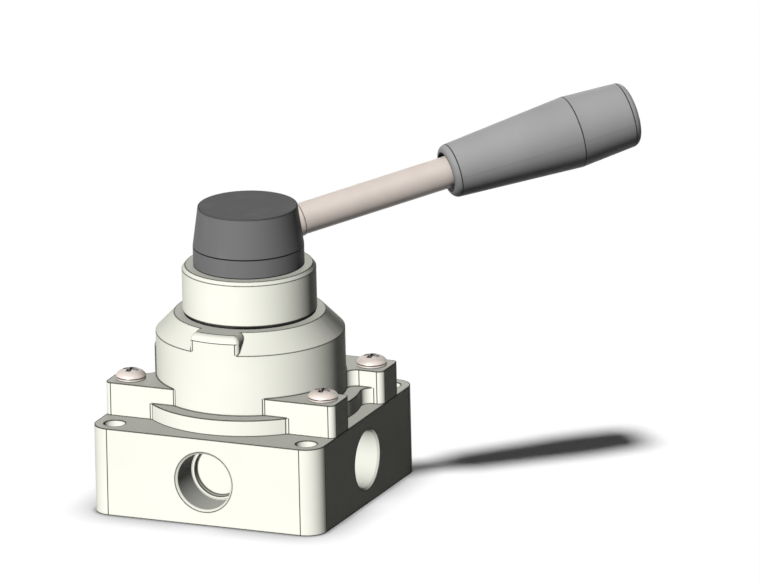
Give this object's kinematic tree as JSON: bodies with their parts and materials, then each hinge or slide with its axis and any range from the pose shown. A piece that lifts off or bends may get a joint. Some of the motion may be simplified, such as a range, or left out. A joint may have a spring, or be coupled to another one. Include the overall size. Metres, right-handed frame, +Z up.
{
  "type": "hand lever air valve",
  "caption": "Square four-port rotary air valve: enamelled block, domed screwed cover, turning collar with a dark cap, and a slanted hand lever with a tapered grip.",
  "frame": {"origin": "centre of the block's bottom face", "axes": "+Z up the stem axis, -Y towards the side of the cover with the position mark, +X to the right of it; the lever stands midway between +X and +Y at rest"},
  "size_m": [0.1401, 0.1401, 0.1189],
  "materials": {
    "body_enamel": "ivory enamel on die-cast aluminium",
    "plated_steel": "dull nickel-plated steel",
    "cap_plastic": "dark grey moulded plastic",
    "grip_plastic": "mid grey moulded plastic",
    "lapped_steel": "lapped steel",
    "hard_steel": "ground steel",
    "black_steel": "black oxide steel",
    "spring_steel": "bright spring wire",
    "bearing_bronze": "turned bronze",
    "bearing_plastic": "white bearing plastic",
    "seal_rubber": "black nitrile rubber"
  },
  "bodies": {
    "valve": {"valve_block": "body_enamel", "seat_plate": "lapped_steel", "port_seals": "seal_rubber", "seat_pins": "hard_steel", "cover": "body_enamel", "cover_seal": "seal_rubber", "cover_screws": "plated_steel", "stem_bush": "bearing_bronze", "thrust_washer": "bearing_plastic", "detent_plate": "hard_steel", "detent_plate_screws": "plated_steel", "stop_pin": "hard_steel"},
    "lever": {"rotary_disc": "bearing_bronze", "spring_washers": "spring_steel", "stem": "hard_steel", "stem_seals": "seal_rubber", "hub": "body_enamel", "hub_washer": "plated_steel", "hub_screw": "black_steel", "detent_balls": "hard_steel", "detent_springs": "spring_steel", "hub_cap": "cap_plastic", "lever_rod": "plated_steel", "lever_grip": "grip_plastic"}
  },
  "joints": [
    {"name": "lever_turn", "type": "hinge", "parent": "valve", "child": "lever", "pos_m": [0, 0, 0.0625], "axis": [0, 0, 1], "range_deg": [-45, 45], "deforming": ["detent_springs", "detent_balls"]}
  ]
}
